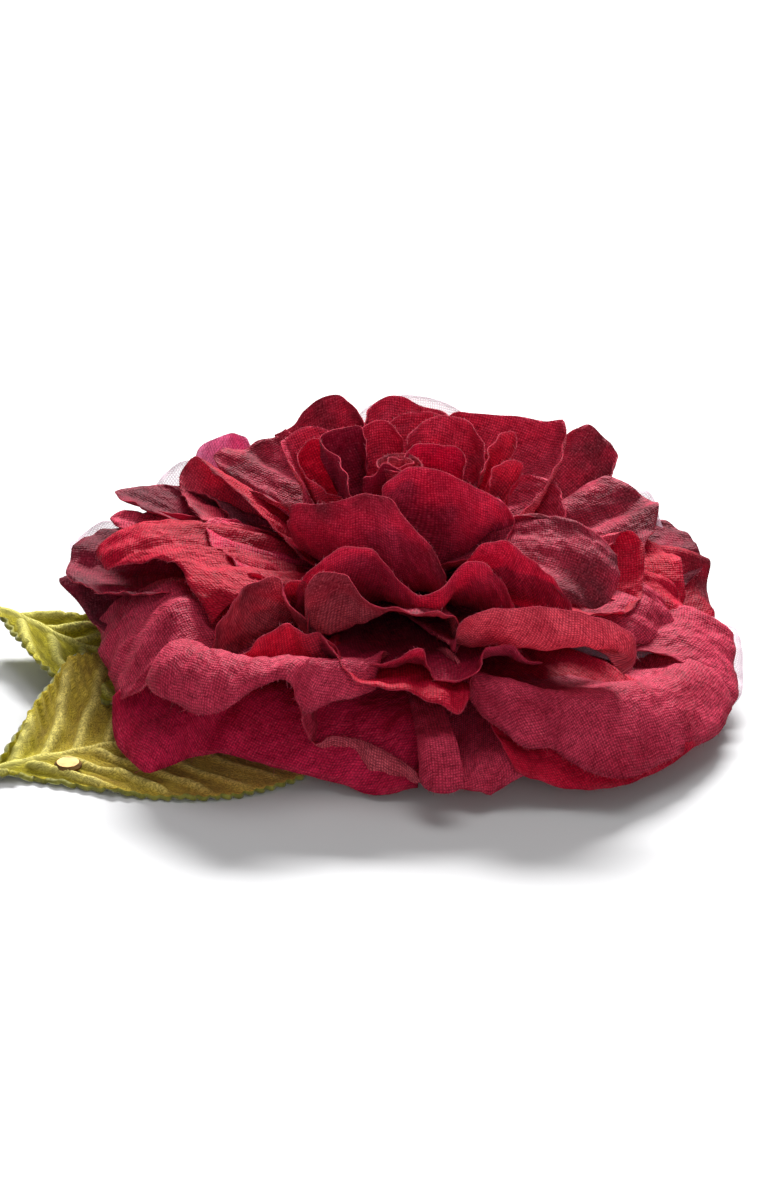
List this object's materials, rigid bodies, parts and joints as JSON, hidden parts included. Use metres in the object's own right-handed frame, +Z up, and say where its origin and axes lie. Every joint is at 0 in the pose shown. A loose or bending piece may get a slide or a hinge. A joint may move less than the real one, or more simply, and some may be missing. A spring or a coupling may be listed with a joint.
{
  "type": "flower hair clip",
  "caption": "Large crimson silk peony with sheer and satin petals and two velvet leaves, on a sprung steel alligator hair clip with a felt backing.",
  "frame": {"origin": "on the flower's axis, in the plane of the clip's flat underside, which the flower rests on", "axes": "+Z up out of the flower, +X towards the side away from the leaves and along the clip towards its tails, -Y to the front that the picture shows"},
  "size_m": [0.1412, 0.1158, 0.046],
  "materials": {
    "petal_silk": "crimson silk satin, glossy inside and matt with a visible weave outside, edges cut and frayed",
    "petal_organza": "sheer lilac-pink organza, thin and slightly stiff",
    "leaf_velvet": "lime-green velvet with pressed veins and a pinked edge, browner at the base",
    "backing_felt": "dark red wool felt",
    "base_net": "stiffened cotton buckram and wadding",
    "stem_wrap": "wire wrapped in green floral tape",
    "clip_steel": "pressed spring steel, nickel plated",
    "stud_brass": "plain antique brass"
  },
  "bodies": {
    "flower": {"buckram_disc": "base_net", "bud_left": "petal_silk", "bud_right": "petal_silk", "bud_roll": "petal_silk", "clip_pin": "clip_steel", "clip_spring": "clip_steel", "clip_upper_arm": "clip_steel", "felt_backing": "backing_felt", "fourth_back_right": "petal_silk", "fourth_front_left": "petal_silk", "fourth_front_right": "petal_silk", "fourth_left": "petal_silk", "fourth_right": "petal_silk", "leaf_stud": "stud_brass", "lower_leaf": "leaf_velvet", "lower_leaf_stem": "stem_wrap", "organza_back": "petal_organza", "organza_left": "petal_organza", "organza_right": "petal_organza", "outer_back": "petal_silk", "outer_back_left": "petal_silk", "outer_back_right": "petal_silk", "outer_front": "petal_silk", "outer_front_left": "petal_silk", "outer_front_right": "petal_silk", "outer_left": "petal_silk", "outer_right": "petal_silk", "outer_side_left": "petal_silk", "outer_under_right": "petal_silk", "petal_core": "base_net", "second_back_corner": "petal_silk", "second_back_left": "petal_silk", "second_back_mid_left": "petal_silk", "second_back_mid_right": "petal_silk", "second_back_right": "petal_silk", "second_corner_left": "petal_silk", "second_dark_left": "petal_silk", "second_front": "petal_silk", "second_front_left": "petal_silk", "second_front_right": "petal_silk", "second_left": "petal_silk", "second_right": "petal_silk", "second_side_left": "petal_silk", "second_side_right": "petal_silk", "third_back": "petal_silk", "third_back_left": "petal_silk", "third_back_right": "petal_silk", "third_front": "petal_silk", "third_front_left": "petal_silk", "third_front_right": "petal_silk", "third_left": "petal_silk", "third_low_front": "petal_silk", "third_low_left": "petal_silk", "third_right": "petal_silk", "third_right_curl": "petal_silk", "third_wavy_front": "petal_silk", "upper_leaf": "leaf_velvet", "upper_leaf_stem": "stem_wrap"},
    "lower_arm": {"clip_lower_arm": "clip_steel"}
  },
  "joints": [
    {"name": "jaw_hinge", "type": "hinge", "parent": "flower", "child": "lower_arm", "pos_m": [0.016, 0, 0.0042], "axis": [0, -1, 0], "range_deg": [0, 20], "stiffness_Nm_per_rad": 0.06, "springref_deg": -68.75, "deforming": ["clip_spring"]}
  ]
}
